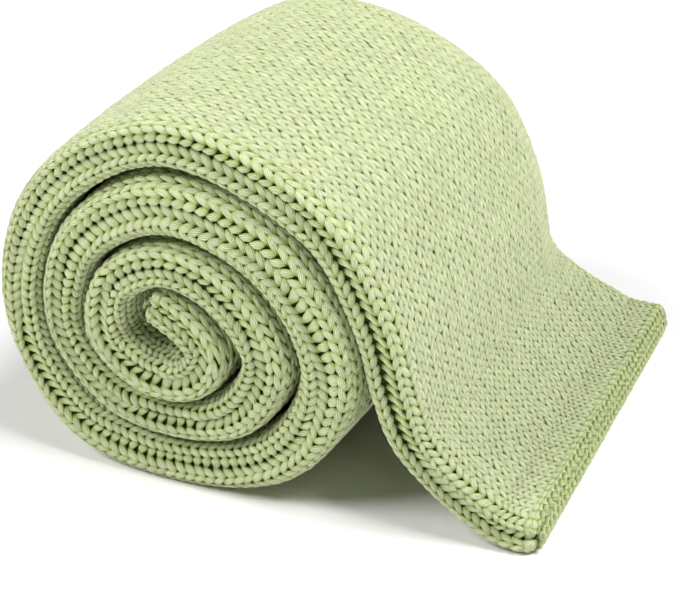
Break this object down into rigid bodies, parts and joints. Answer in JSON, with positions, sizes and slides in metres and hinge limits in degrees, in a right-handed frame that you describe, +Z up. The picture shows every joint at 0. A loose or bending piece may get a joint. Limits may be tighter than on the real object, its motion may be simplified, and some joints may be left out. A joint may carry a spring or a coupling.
{
  "type": "rolled weighted blanket",
  "caption": "Thick knitted blanket rolled up from one end, with its loose end lying out flat beside the roll.",
  "frame": {"origin": "under the middle of the roll and its loose end, on the surface they lie on", "axes": "+X from the roll to the loose end, -Y the end of the roll that shows its turns, +Z up"},
  "size_m": [0.392, 0.3674, 0.2902],
  "materials": {
    "knit": "matte cotton yarn in plain knit"
  },
  "bodies": {
    "root": {"blanket": "knit"}
  },
  "joints": []
}
